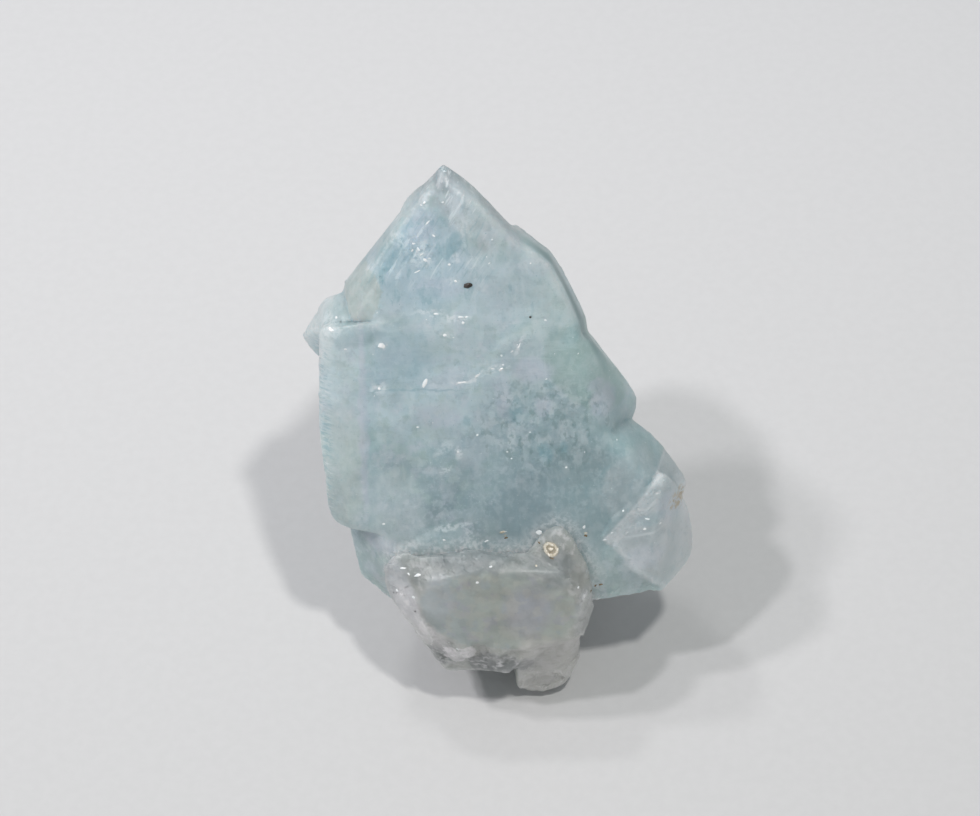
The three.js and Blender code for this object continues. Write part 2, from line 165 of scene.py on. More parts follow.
def fill_creases(skin, rounds):
    """Brings hollow places out to their surroundings, so that no step undercuts the next."""
    bm = bmesh.new()
    bm.from_mesh(skin.data)
    stepped = [vertex for vertex in bm.verts if in_crease(along_blade(vertex.co))]
    for _ in range(rounds):
        before = [(vertex, vertex.co.copy(), vertex.normal.copy()) for vertex in stepped]
        ease(bm, stepped)
        for vertex, start, outward in before:
            if (vertex.co - start).dot(outward) < 0:
                vertex.co = start
        bm.normal_update()
    bm.to_mesh(skin.data)
    bm.free()


def softness_of_beryl(place):
    """Steps that are barely seen on the crystal's face are soft, and its outline is crisp."""
    faint_step = max(
        blot(place, (-2.4, 34.2), (6, 1.3)), 0.7 * blot(place, (-7, 31.6), (2.6, 2.4)),
        blot(place, (2.5, 25), (6.2, 7)), blot(place, (7, 23), (2.6, 3)),
        blot(place, (4.6, 32), (2, 2.6)), blot(place, (-4.1, 43.9), (1.3, 1.3)),
    )
    return max(0.1, fade(place.y, 1.6, 0.6) * faint_step)


def crest_of_corner(across, up):
    """How far inside its crest, and inside its lower edge, a place on the milky corner lies."""
    return across * 0.802 - up * 0.598 + 4.97, across * 0.758 + up * 0.652 - 16.23


def relief_of_beryl(place, edge):
    """How far the crystal's skin stands out from the plain solid at a place, in millimetres."""
    across, back, up = place
    front = fade(back, 1.6, 0.6)
    swell = 0.06 * noise.noise(place / 5) + 0.03 * noise.noise(place / 1.3)
    ribbing = Vector((across / 0.42, back / 0.42, up / 9))
    striae = 0.012 * noise.noise(ribbing) + 0.008 * noise.noise(ribbing * 2.3)
    side = fade(across, -10.2, -11.4) * fade(up, 17, 19) * fade(up, 34.5, 33)
    ledge_ribs = side * 0.05 * noise.noise(Vector((across / 4, back / 2, up / 0.5)))
    broken = front * max(
        blot(place, (2.6, 26.4), (3.8, 3.4)), 0.6 * blot(place, (6.5, 22.5), (2.6, 2)),
        0.5 * blot(place, (-0.4, 31.2), (2.4, 1.4)),
        0.8 * blot(place, (-5.6, 40.2), (1.2, 2.2), -20), 0.5 * blot(place, (-2.4, 21), (2.4, 2)),
    )
    hackly = broken * (0.04 * hackle(place, 0.9) + 0.03 * hackle(place, 0.4) - 0.03)
    inside_crest, inside_foot = crest_of_corner(across, up)
    corner = fade(inside_crest, -0.2, 0.2) * fade(inside_foot, -0.2, 0.3)
    crest = corner * fade(inside_crest, 1.7, 1.1) * front
    rows = Vector((inside_crest / 0.5, back / 0.6, inside_foot / 1.6))
    granules = crest * (0.04 * noise.noise(rows) + 0.06 * hackle(place, 0.4) - 0.02)
    left_spike = 0.7 * fade(across, -11.6, -12.4)
    frosted = max(0.5 * corner, 0.8 * blot(place, (-4.2, 15.8), (4, 1.8)), left_spike)
    crusty = frosted * (0.05 * hackle(place, 1.1) + 0.02 * hackle(place, 0.4) - 0.02)
    rough_back = fade(back, 3, 6) * (0.1 * hackle(place, 2.1) + 0.05 * hackle(place, 0.8) - 0.05)
    rough_foot = fade(up, 14, 12) * (0.12 * hackle(place, 1.3) - 0.06)
    nibble = max(0, noise.noise(place / 0.9) + 0.6 * noise.noise(place / 0.35) + 0.15)
    worn = fade(edge, 0.04, 0.2) * (0.03 + 0.24 * nibble)
    relief = swell + striae + ledge_ribs + hackly + granules + crusty + rough_back + rough_foot - worn
    return min(OUTWARD_LIMIT, relief)


def carve(skin, relief, spread):
    """Moves every vertex along its normal, and keeps how exposed it is for the material."""
    mesh = skin.data
    edges = edge_sharpness(mesh)
    normals = [vertex.normal.copy() for vertex in mesh.vertices]
    for vertex, normal, edge in zip(mesh.vertices, normals, edges):
        vertex.co += normal * MM * relief(along_blade(vertex.co), edge)
    worn = mesh.attributes.new("worn", "FLOAT", "POINT")
    worn.data.foreach_set("value", [fade(edge, 0, spread) for edge in edges])
    mesh.update()


class Value:
    """An output of a shader node; sums written on it add the nodes that work them out."""

    def __init__(self, socket):
        self.socket = socket

    def node(self, kind, settings=(), inputs=(), output=0):
        """Adds a node beside this one, with its settings made first, and gives its output."""
        tree = self.socket.id_data
        made = tree.nodes.new("ShaderNode" + kind)
        for setting, choice in dict(settings).items():
            if setting == "stops":
                ramp = made.color_ramp.elements
                while len(ramp) < len(choice):
                    ramp.new(0.5)
                for stop, (position, colour) in zip(ramp, choice):
                    stop.position = position
                    stop.color = colour
            else:
                setattr(made, setting, choice)
        for place, given in dict(inputs).items():
            if isinstance(given, Value):
                tree.links.new(given.socket, made.inputs[place])
            else:
                made.inputs[place].default_value = given
        return Value(made.outputs[output])

    def maths(self, operation, first, second=0.0):
        return self.node("Math", {"operation": operation}, {0: first, 1: second})

    def __add__(self, other):
        return self.maths("ADD", self, other)

    def __sub__(self, other):
        return self.maths("SUBTRACT", self, other)

    def __rsub__(self, other):
        return self.maths("SUBTRACT", other, self)

    def __mul__(self, other):
        return self.maths("MULTIPLY", self, other)

    def __truediv__(self, other):
        return self.maths("DIVIDE", self, other)

    def __abs__(self):
        return self.maths("ABSOLUTE", self)

    __radd__ = __add__
    __rmul__ = __mul__

    def vector(self, operation, *others, output="Vector"):
        """Vector maths on this value and up to two more."""
        parts = dict(enumerate((self, *others)))
        return self.node("VectorMath", {"operation": operation}, parts, output)

    def part(self, axis):
        return self.node("SeparateXYZ", inputs={0: self}, output=axis)

    def feeds(self, socket):
        """Joins this shader to the material's output."""
        tree = self.socket.id_data
        tree.links.new(self.socket, tree.nodes["Material Output"].inputs[socket])

    def most(self, other):
        return self.maths("MAXIMUM", self, other)

    def least(self, other):
        return self.maths("MINIMUM", self, other)

    def between(self, low, high, start=0.0, end=1.0):
        """Goes smoothly from start to end as this goes from low to high."""
        return self.node("MapRange", {"interpolation_type": "SMOOTHSTEP"}, {
            "Value": self, "From Min": low, "From Max": high, "To Min": start, "To Max": end,
        })

    def tinted(self, colour, share):
        """This colour, with that share of another colour laid over it."""
        return self.node("Mix", {"data_type": "RGBA"}, {0: share, 6: self, 7: colour}, output=2)


def bare_material(name):
    """A material with only its output node, and the place on the object to build it from."""
    material = bpy.data.materials.new(name)
    material.use_nodes = True
    tree = material.node_tree
    tree.nodes.clear()
    tree.nodes.new("ShaderNodeOutputMaterial")
    place = Value(tree.nodes.new("ShaderNodeTexCoord").outputs["Object"])
    return material, place


def facing_up(place):
    """1 where the skin looks straight up and 0 where it is upright or looks down: the mask for painted
    shade on skin that looks up.
    """
    return place.node("NewGeometry", output="Normal").part("Z").between(0.3, 1)


def blade_axes(place):
    """Across, back and up the leaning blade in millimetres, for a material."""
    across, depth, height = (place.part(axis) / MM for axis in "XYZ")
    depth -= FACE_FOOT
    back = depth * math.cos(LEAN) - height * math.sin(LEAN)
    up = depth * math.sin(LEAN) + height * math.cos(LEAN)
    return across, back, up


def cloudy_stone(place, colour, polish, bump, clarity, mineral):
    """Finishes a cloudy mineral: light scatters inside it, and passes where its clarity is high."""
    scattering = place.node("BsdfPrincipled", inputs={
        "Base Color": colour, "Roughness": polish, "IOR": mineral["ior"], "Normal": bump,
        "Subsurface Weight": 1.0, "Subsurface Radius": mineral["scatter"],
        "Subsurface Scale": SCATTER_DEPTH * MM,
    })
    glass = place.node("BsdfPrincipled", inputs={
        "Base Color": mineral["clear"], "Roughness": mineral["clear_roughness"],
        "IOR": mineral["ior"], "Normal": bump, "Transmission Weight": 1.0,
    })
    skin = place.node("MixShader", inputs={0: clarity, 1: scattering, 2: glass})
    depth = place.node("VolumeAbsorption", inputs={
        "Color": mineral["depth"], "Density": mineral["density"],
    })
    skin.feeds("Surface")
    depth.feeds("Volume")


def shade_of(tone):
    """A colour picked on screen, red, green and blue from 0 to 255, as linear light."""
    return tuple(((part / 255 + 0.055) / 1.055) ** 2.4 for part in tone) + (1.0,)


def grain(place, size, detail=2.0, stretch=(1, 1, 1), rough=0.55, output="Fac"):
    """Cloudy noise with lumps of a size in millimetres, drawn out along an axis by stretch."""
    scaled = place.vector("MULTIPLY", [1 / (MM * size * part) for part in stretch])
    return place.node("TexNoise", inputs={
        "Vector": scaled, "Scale": 1.0, "Detail": detail, "Roughness": rough,
    }, output=output)


def streaks(place, width, length, lean_right):
    """Noise drawn out along a line that leans right of the blade's length, in degrees."""
    turned = place.node("VectorRotate", {"rotation_type": "EULER_XYZ"}, {
        "Vector": place, "Rotation": (LEAN, -math.radians(lean_right), 0),
    })
    return grain(turned, width, detail=2, stretch=(1, 2, length / width))


def ragged(face, place, size, amount):
    """The same place on the face, shifted this way and that by up to an amount in millimetres."""
    wander = grain(place, size, detail=3, output="Color")
    shift = wander.vector("MULTIPLY_ADD", (2 * amount, 2 * amount, 0), (-amount, -amount, 0))
    return face.vector("ADD", shift)


def shards(place, size):
    """One grey, from 0 to 1, for each crooked little patch of a size in millimetres."""
    wander = grain(place, size * 0.5, detail=2, output="Color")
    crooked = wander.vector("MULTIPLY_ADD", [0.9 * size * MM] * 3, place)
    return place.node("TexVoronoi", inputs={
        "Vector": crooked, "Scale": 1 / (size * MM),
    }, output="Color")


def off_centre(face, centre, reach, turn=0):
    """The square of how far out a place on the face lies, 1 on the rim of an ellipse."""
    if turn == 0:
        scaled = face.vector("MULTIPLY_ADD", (1 / reach[0], 1 / reach[1], 0),
                             (-centre[0] / reach[0], -centre[1] / reach[1], 0))
        return scaled.vector("DOT_PRODUCT", scaled, output="Value")
    away = 0.0
    for half, angle in zip(reach, (math.radians(turn), math.radians(turn + 90))):
        way = Vector((math.cos(angle), math.sin(angle))) / half
        level = (way.x, way.y, -way.dot(Vector(centre)))
        distance = face.vector("DOT_PRODUCT", level, output="Value")
        away = face.node("Math", {"operation": "MULTIPLY_ADD"}, {0: distance, 1: distance, 2: away})
    return away


def patch(face, centre, reach, turn=0, soft=0.35):
    """1 inside a soft ellipse on the face, whose first reach is turned from across."""
    away = off_centre(face, centre, reach, turn)
    return away.between((1 + soft) ** 2, (1 - soft) ** 2)


def patches(face, ellipses, soft=0.35):
    """Every one of a list of ellipses, each with its own strength last, laid over one another."""
    nearest = {}
    for across, up, wide, high, turn, strength in ellipses:
        away = off_centre(face, (across, up), (wide, high), turn)
        nearest[strength] = away.least(nearest[strength]) if strength in nearest else away
    together = 0.0
    for strength, away in nearest.items():
        together = away.between((1 + soft) ** 2, (1 - soft) ** 2, 0.0, strength).most(together)
    return together


BERYL_TIP = shade_of((183, 193, 196))
BERYL_UPPER = shade_of((212, 225, 228))
BERYL_PALE = shade_of((203, 222, 228))
BERYL_MIDDLE = shade_of((181, 204, 208))
BERYL_DEEP = shade_of((154, 177, 184))
BERYL_FOOT = shade_of((174, 190, 190))
BERYL_BLUE = shade_of((190, 212, 222))
BERYL_TEAL = shade_of((136, 180, 190))
BERYL_GREEN = shade_of((192, 214, 211))
BERYL_MOSS = shade_of((172, 196, 190))
BERYL_LILAC = shade_of((206, 211, 224))
BERYL_HAZE = shade_of((194, 202, 205))
BERYL_CREAM = shade_of((198, 208, 203))
BERYL_SHADE = shade_of((130, 160, 162))
BERYL_PAINTED_TIP_SHADE = shade_of((150, 156, 161))
BERYL_MILK = shade_of((216, 223, 224))
BERYL_FROST = shade_of((240, 244, 246))
RUST = shade_of((190, 172, 138))
# How light travels in the stone: it scatters over this many millimetres and fades with depth.
SCATTER_DEPTH = 2.2
BERYL_OPTICS = {
    "ior": 1.57, "scatter": (1.0, 1.2, 1.25), "clear": BERYL_FROST, "clear_roughness": 0.28,
    "depth": shade_of((150, 208, 222)), "density": 90.0,
}
# Centre across and up, reach both ways, turn and strength of what shows in the face.
FROSTY_SPOTS = [
    (-5.6, 39.2, 0.9, 0.35, 60, 0.8), (-5.3, 38.4, 0.6, 0.3, 20, 0.7),
    (-5.3, 42.6, 0.3, 0.4, 0, 0.45), (-7, 39.9, 0.45, 0.4, 0, 0.6),
    (-5.1, 41.3, 0.35, 0.16, 50, 0.5), (-6, 43.1, 0.3, 0.2, 0, 0.35),
    (-2.8, 40.6, 1.1, 0.13, 100, 0.4), (-3.3, 38.8, 0.3, 0.35, 0, 0.6),
    (-3.5, 37.1, 0.5, 0.3, 0, 0.5), (-5, 34.8, 1.1, 0.25, 0, 0.6), (-3.2, 34.4, 0.9, 0.2, 0, 0.7),
    (-3.8, 33.2, 0.5, 0.3, 0, 0.5), (-8.2, 32.5, 0.4, 0.35, 0, 0.8),
    (-8.4, 29.3, 0.5, 0.35, 0, 0.7), (-2.8, 29.7, 0.8, 0.14, 5, 0.9),
    (-1.9, 30.1, 0.6, 0.14, 45, 0.8), (-0.6, 30.6, 0.7, 0.3, 20, 0.8),
    (0.9, 32.3, 0.8, 0.15, 70, 0.7), (-4.2, 24.5, 0.8, 0.3, 40, 0.5),
    (-3.2, 24.1, 0.25, 0.5, 0, 0.7), (-4, 22.8, 0.5, 0.16, 35, 0.7),
    (-6.9, 15.7, 0.9, 0.4, 10, 0.8), (-5.2, 15.1, 1.1, 0.25, 25, 0.8),
    (-3.6, 18.2, 1.5, 0.2, 10, 0.6), (-2.2, 17.2, 1.1, 0.2, -60, 0.6),
    (-11.5, 33.5, 0.6, 0.5, 0, 0.6), (0.4, 25, 0.25, 1, 0, 0.5), (-8.2, 38.6, 1.2, 0.1, 60, 0.4),
    (-6.8, 37.9, 0.9, 0.08, 62, 0.5),
]
LILAC_SPOTS = [
    (1.7, 30.4, 1.3, 0.9, 0, 0.8), (6, 29.1, 0.5, 0.4, 0, 0.8), (6.5, 27.8, 0.8, 1, 0, 1),
    (2.5, 27.6, 0.5, 0.8, 0, 0.7), (-4.6, 27, 1.4, 0.8, 0, 0.6), (-9.5, 27, 0.28, 7, 0, 0.7),
    (-8.6, 16.6, 1, 0.7, 0, 0.7), (-0.2, 28.6, 0.5, 1.4, 0, 0.6), (-4.5, 36.6, 1.4, 0.7, 0, 0.5),
    (11.3, 19.3, 0.8, 1.2, 20, 0.5), (9.6, 15.6, 1.2, 1, 0, 0.5), (-5.6, 40.9, 0.8, 1.2, -30, 0.5),
]
DEEP_SPOTS = [
    (-7.1, 31.6, 1.9, 2.3, 0, 0.35), (-6.4, 30.7, 0.9, 0.8, -20, 0.6),
    (0.6, 27.5, 0.3, 0.9, -5, 0.7), (2.6, 24.4, 0.35, 0.5, 0, 0.9), (-2.6, 40, 0.13, 1.1, 5, 0.45),
    (-3.7, 39.7, 0.28, 1.3, -38, 0.8), (-5.1, 36.3, 0.8, 0.3, 0, 0.7),
    (-7.4, 38.6, 1.2, 0.3, 52, 0.6), (-6.2, 29.1, 2.9, 0.09, 0, 0.8),
    (-4.4, 24.3, 0.9, 0.6, 0, 0.5), (0.5, 33.6, 1.3, 0.3, 30, 0.4), (4.4, 32.9, 0.5, 1, -40, 0.4),
    (9.9, 18.8, 1.1, 0.45, 8, 0.5), (-9, 27, 0.4, 7, 0, 0.3), (-1.2, 16.4, 0.9, 0.6, 0, 0.6),
    (0.7, 26.9, 0.3, 0.8, 0, 0.9), (2.7, 23.9, 0.4, 0.6, 0, 1), (3.9, 24.4, 0.25, 0.4, 0, 0.8),
    (2.8, 29.3, 0.3, 0.3, 0, 0.7), (-4.2, 24.4, 0.6, 0.3, 0, 0.7), (-2.7, 26.6, 0.25, 0.4, 0, 0.6),
    (-5, 36, 0.6, 0.35, 0, 0.7), (-3.5, 39.4, 1.3, 0.25, 46, 1), (-7.8, 38, 1, 0.22, 63, 1),
]


def beryl_material():
    """Blue-green clouds, deeper patches, frosted edges, pale flecks, and painted shade and light, laid
    over one another.
    """
    material, place = bare_material("cloudy aquamarine")
    across, back, up = blade_axes(place)
    face = place.node("CombineXYZ", inputs={"X": across, "Y": up, "Z": 1.0})
    front = back.between(4, 1.5)
    # The body colour from the foot to the tip, with broad clouds in it.
    wander = grain(place, 3.5, detail=3)
    up_wavy = up + (wander - 0.5) * 5
    colour = place.node("ValToRGB", {"stops": [
        (0.0, BERYL_FOOT), (0.18, BERYL_DEEP), (0.32, BERYL_MIDDLE), (0.45, BERYL_PALE),
        (0.62, BERYL_PALE), (0.85, BERYL_UPPER), (0.95, BERYL_TIP),
    ]}, {0: up_wavy.between(10, 46)})
    clouds = grain(place, 2.4, detail=3)
    mosaic = grain(place, 1.2, detail=4, rough=0.62)
    green = across.between(-1.5, 2.5) * up.between(26, 30)
    colour = colour.tinted(BERYL_GREEN, (green * 0.4).most(clouds.between(0.5, 0.34) * 0.4))
    lilac = (clouds.between(0.54, 0.68) * 0.3).most(mosaic.between(0.55, 0.6) * 0.25)
    colour = colour.tinted(BERYL_LILAC, lilac)
    colour = colour.tinted(BERYL_MOSS, mosaic.between(0.45, 0.4) * 0.26)
    flakes = shards(place, 0.9)
    colour = colour.tinted(BERYL_DEEP, flakes.between(0.34, 0.3) * 0.16)
    colour = colour.tinted(BERYL_UPPER, flakes.between(0.66, 0.7) * 0.25)
    # The zones of the face: blue, broken, deep, mossy, creamy and milky, with painted shade and light
    # among them.
    soft_face = ragged(face, place, 2.5, 1.2)
    rough_face = ragged(face, place, 0.8, 0.35)
    blue = patch(soft_face, (-5.4, 38), (2.9, 3.3), soft=0.5).most(
        patches(soft_face, [(-6.6, 31.2, 2, 2, 0, 0.5), (-1.2, 36.6, 3, 2.2, 0, 0.5)], 0.6))
    colour = colour.tinted(BERYL_BLUE, blue * front * 0.85)
    broken = patch(soft_face, (2.8, 26), (4.4, 3.6), soft=0.4) * front
    lower_right = patch(soft_face, (4.3, 20.6), (5.4, 4.4), soft=0.5) * front
    low_left = patch(soft_face, (-3.5, 16.8), (5, 1.6), soft=0.4)
    # Darker patches, and painted shade on the up-facing top of the left ledge.
    darker_patches_and_ledge_shade = patches(soft_face, [
        (1.8, 31.2, 2.2, 1.6, 0, 0.4), (-3.2, 24.8, 1.4, 1.5, 0, 0.25),
        (-10.4, 33.2, 2.1, 0.8, 0, 0.6), (-0.8, 37.6, 1.6, 1.4, 0, 0.18),
    ], 0.4)
    deeper = (broken * 0.6).most(lower_right * 0.98).most(low_left * 0.35).most(darker_patches_and_ledge_shade)
    colour = colour.tinted(BERYL_DEEP, deeper)
    left_foot = patch(soft_face, (-7.9, 19.6), (2, 3), 10, soft=0.5) * front
    colour = colour.tinted(BERYL_UPPER, left_foot * 0.55)
    flank = patch(rough_face, (5.6, 30.2), (3.9, 2.3), -48, soft=0.08) * front
    lobe = patch(soft_face, (8, 25), (2.2, 2.2), soft=0.4)
    mossy = (flank * 0.58).most(across.between(2, 5) * up.between(30, 26) * 0.16)
    colour = colour.tinted(BERYL_MOSS, mossy)
    # Painted shade on the lobe, and the left part of the flank darker.
    colour = colour.tinted(BERYL_SHADE, (lobe * 0.06).most(flank * across.between(6.5, 4.5) * 0.22))
    plate = patch(rough_face, (8.3, 21.6), (1.6, 2.6), -25, soft=0.12) * front
    colour = colour.tinted(BERYL_HAZE, plate * 0.4)
    bevel = across.between(-9.2, -10.8) * up.between(36, 34) * up.between(16, 18)
    slope = patch(rough_face, (-9.5, 36), (1.3, 1.8), soft=0.08)
    spike = across.between(-11, -11.7) * up.between(28, 33)
    swelling = patch(soft_face, (-4.4, 15.6), (4.4, 2), soft=0.4)
    # Painted light on the bevels beside the point, which face away from the lamps.
    tip_sides_painted_light = patches(face, [
        (-2.1, 42.8, 2.6, 0.6, -48, 0.3), (-6, 42.4, 2, 0.5, 54, 0.25), (-2.2, 41, 1, 0.8, 0, 0.35),
    ])
    right_shoulder = patch(soft_face, (1.6, 37), (3.2, 4.2), soft=0.5)
    # The left bevel, the spike and the swelling are milky; the sides of the point get painted light.
    milky_and_painted_light = (bevel * 0.28).most(spike * 0.8).most(swelling * front * 0.06).most(tip_sides_painted_light)
    colour = colour.tinted(BERYL_MILK, milky_and_painted_light)
    colour = colour.tinted(BERYL_FROST, right_shoulder * front * 0.1)
    strip = patch(soft_face, (-11, 22.6), (1.3, 4.6), soft=0.35) * front
    left_rim = patch(soft_face, (-7.4, 41), (2.4, 0.8), 62) * 0.4
    creamy = (slope * front * 0.65).most(strip * 0.42).most(left_rim * front)
    colour = colour.tinted(BERYL_CREAM, creamy)
    # Painted shade on skin that looks up, to take back the lamps' extra light; less of it on the slope,
    # the right side, the right bevel and the point.
    right_bevel = across.between(-2.5, 0) * up.between(35, 36.5)
    spared_from_painted_shade = (slope * 0.6).most(across.between(3, 8) * 0.7)
    spared_from_painted_shade = spared_from_painted_shade.most(right_bevel * 0.8).most(up.between(39, 43) * 0.8)
    colour = colour.tinted(BERYL_SHADE, facing_up(place) * (1 - spared_from_painted_shade) * front * 0.42)
    # Painted shade over the point, whose top facets catch the lamps.
    painted_tip_shade = patches(face, [(-4.1, 43.9, 1.9, 1.3, 0, 0.16), (-4.1, 44.2, 0.6, 0.9, 0, 0.65)], 0.5)
    colour = colour.tinted(BERYL_PAINTED_TIP_SHADE, painted_tip_shade * front)
    # The milky crystal in the lower right corner, with its frosted crest and edges.
    inside_crest, inside_foot = crest_of_corner(across + (wander - 0.5) * 0.8, up)
    inside_foot += (grain(place, 1.1, detail=4) - 0.5) * 1.4
    corner = inside_crest.between(-0.15, 0.15) * inside_foot.between(-0.25, 0.35)
    crest = corner * inside_crest.between(1.9, 0.8)
    fringe = (inside_foot.between(0.6, 0.3) * 0.9).most(inside_crest.between(0.5, 0.1)) * corner
    rows = streaks(place, 0.16, 0.7, 37).between(0.38, 0.62)
    spine = abs(up - across * 0.18 - 15.95).between(0.18, 0.04) * across.between(11.4, 10)
    colour = colour.tinted(BERYL_HAZE, corner * 0.85)
    low_corner = up.between(17.5, 14.5)
    outer_corner = patch(soft_face, (12.2, 17.4), (1.5, 3), soft=0.4)
    colour = colour.tinted(BERYL_MILK, corner * low_corner * 0.8)
    colour = colour.tinted(BERYL_FROST, corner * outer_corner * 0.6)
    # Lilac veils, teal hollows and the slanting growth lines of the point.
    teal = grain(place, 0.9, detail=3, stretch=(0.7, 1, 2)).between(0.58, 0.66)
    colour = colour.tinted(BERYL_LILAC, patches(rough_face, LILAC_SPOTS, 0.4) * front * 0.6)
    deep = patches(rough_face, DEEP_SPOTS, 0.4) * front
    slanting = streaks(place, 0.25, 2, 30)
    upright = streaks(place, 0.35, 4, -4)
    point = up.between(35, 38) * across.between(0, -2) * front
    pale_line = slanting.between(0.41, 0.33) * point
    groove = slanting.between(0.57, 0.65) * point * up.between(43, 41)
    deep = (deep * 0.5).most(teal * (blue * 0.35 + front * 0.12)).most(groove * 0.32)
    colour = colour.tinted(BERYL_TEAL, deep)
    upright_line = upright.between(0.4, 0.3) * up.between(16, 24) * front
    # Frost: veils, cotton, specks, worn edges, and beryl crushed where it meets the quartz.
    hazy = grain(place, 0.7, detail=3, stretch=(0.8, 1, 1.4), rough=0.6).between(0.5, 0.64)
    speckle = grain(place, 0.4, detail=3, rough=0.7)
    clots = grain(place, 0.8, detail=3, stretch=(1, 1, 1.3)).between(0.54, 0.6)
    cotton = grain(place, 1.2, detail=4, rough=0.65).between(0.56, 0.68)
    worn = place.node("Attribute", {"attribute_name": "worn"}, output="Fac")
    contact = place.node("Attribute", {"attribute_name": "contact"}, output="Fac")
    flecked = grain(place, 0.3, detail=2, rough=0.65)
    spots = patches(rough_face, FROSTY_SPOTS, 0.5) * flecked.between(0.35, 0.58) * front
    haze = (pale_line * 0.42).most(upright_line * 0.14).most(hazy * 0.14).most(worn * front * 0.12)
    level = grain(place, 0.22, detail=2, stretch=(9, 2, 1)).between(0.54, 0.64)
    haze = haze.most(level * up.between(27, 30) * up.between(37, 34) * front * 0.14)
    haze = haze.most(cotton * front * 0.2).most(spots * 0.75)
    haze = haze.most(contact * (flecked.between(0.4, 0.6) * 0.4 + 0.2))
    haze = haze.most(speckle.between(0.53, 0.64) * 0.13).most(clots * (1 - front) * 0.22)
    granular = rows * 0.1 + flecked.between(0.42, 0.62) * 0.18 + 0.16
    # Less frost towards the crest's upper end: painted shade where it catches the lamps.
    frost = haze.most(broken * clots * 0.25).most(crest * granular * up.between(19, 21.4, 1, 0.5))
    frost = frost.most(spine.most(fringe) * corner * 0.34)
    colour = colour.tinted(BERYL_FROST, frost)
    # Dark pits, painted shade along the outline, ticks along the left edge, pinpoints of frost, and
    # rust.
    dark_spot = grain(place, 0.55, detail=3, stretch=(0.8, 1, 1.3)).between(0.53, 0.63) * broken
    # Painted shade along the outline and the right edge, where the crystal's rim looks dark.
    outline = worn.between(0.05, 0.45) * back.between(0.2, 0.8) * (1 - spike)
    outline = outline * up.between(38, 42, 0.6, 0.15)
    right_edge = across.between(0, 3) * back.between(0.9, 1.4) * back.between(2.4, 1.7)
    outline = outline.most(right_edge * up.between(28.5, 32, 0.15, 0.8))
    pits_and_painted_edge_shade = (dark_spot * 0.5).most(outline).most(speckle.between(0.44, 0.34) * 0.16)
    colour = colour.tinted(BERYL_SHADE, pits_and_painted_edge_shade)
    ticks = grain(place, 0.22, detail=2, stretch=(4, 2, 0.7))
    left_edge = across.between(-11.4, -12) * up.between(33, 31) * up.between(16, 18) * front
    pits = grain(place, 0.2, detail=1).between(0.74, 0.8)
    colour = colour.tinted(BERYL_TEAL, (left_edge * ticks.between(0.55, 0.62) * 0.4).most(pits * 0.5))
    fine = grain(place, 0.16, detail=2)
    tiny = (fine.between(0.68, 0.76) * 0.35).most(left_edge * ticks.between(0.4, 0.34) * 0.5)
    colour = colour.tinted(BERYL_FROST, tiny)
    rust = patch(rough_face, (11.8, 19.4), (0.5, 0.6), soft=0.6)
    colour = colour.tinted(RUST, rust * flecked.between(0.4, 0.6) * 0.8)
    # Gloss, fine relief, and how much light goes straight through.
    polish = grain(place, 1.4, detail=3).between(0.35, 0.7, 0.28, 0.48) + frost * 0.25
    bump = place.node("Bump", inputs={
        "Strength": 0.35, "Distance": 0.05 * MM,
        "Height": fine * 0.6 + grain(place, 0.5, 3) * 1.2,
    })
    clear = grain(place, 4, detail=2).between(0.35, 0.7, 0.08, 0.24)
    clarity = clear * (1 - frost) * (1 - milky_and_painted_light * 0.6)
    cloudy_stone(place, colour, polish, bump, clarity, BERYL_OPTICS)
    return material


beryl = fine_skin("aquamarine", octree_depth=8, octree_scale=0.8)
beryl.name = "aquamarine_crystal"
fill_creases(beryl, CREASE_ROUNDS)
rub_down(beryl, BERYL_RUBBING, softness_of_beryl)
carve(beryl, relief_of_beryl, EDGE_SPREAD)
beryl.data.materials.clear()
beryl.data.materials.append(beryl_material())
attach(beryl, "root")
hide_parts("aquamarine")


# --- The quartz ----------------------------------------------------------------------------
# The lump that the crystal grew from: massive grey quartz, broken all round. One flat greasy
# break faces the front, inside a rim of whitish chips, and the two minerals are grown together.

GROWN_INTO = 0.05
SEAM_REACH = 0.6
FLARE = 0.9
FLARE_REACH = 1.5
BROW_DROP = 1.7
TOE_SPREAD = 0.8
QUARTZ_RUBBING = 24
CRUSHED_REACH = 1.6


def softness_of_quartz(place):
    """The top rim and the toe are rounded like wax; the broken foot of the face is sharper."""
    chips = blot(place, (-1.8, 8.8), (3.4, 1.6))
    lip = fade(place.y, -1, -1.6) * fade(place.z, 14, 15.5)
    return 0.5 - 0.35 * chips + 0.5 * lip


def relief_of_quartz(place, edge):
    """How far the quartz's skin stands out from the plain solid at a place, in millimetres."""
    _, back, up = place
    flat_face = fade(back, -2.1, -2.3) * fade(edge, 0.05, 0.0)
    chips = max(0.3, blot(place, (-2, 8.8), (3.6, 1.8)), fade(back, 0.5, 2))
    swell = 0.07 * noise.noise(place / 3) + 0.04 * noise.noise(place / 0.9)
    chipped = 0.13 * hackle(place, 1.9) + 0.06 * hackle(place, 0.9) + 0.015 * hackle(place, 0.35) - 0.05
    waxy = 0.05 * noise.noise(place / 0.7) + 0.02 * noise.noise(place / 0.3)
    frosted = 0.008 * hackle(place, 0.3)
    nibble = max(0, noise.noise(place / 0.8) + 0.5 * noise.noise(place / 0.3) + 0.1)
    worn = fade(edge, 0.04, 0.2) * (0.04 + 0.12 * nibble)
    rough = chips * chipped + (1 - chips) * waxy
    relief = swell + flat_face * frosted + (1 - flat_face) * rough - worn
    ground = fade(up * math.cos(LEAN) - back * math.sin(LEAN), 0.05, 0.4)
    return min(OUTWARD_LIMIT, relief) * ground


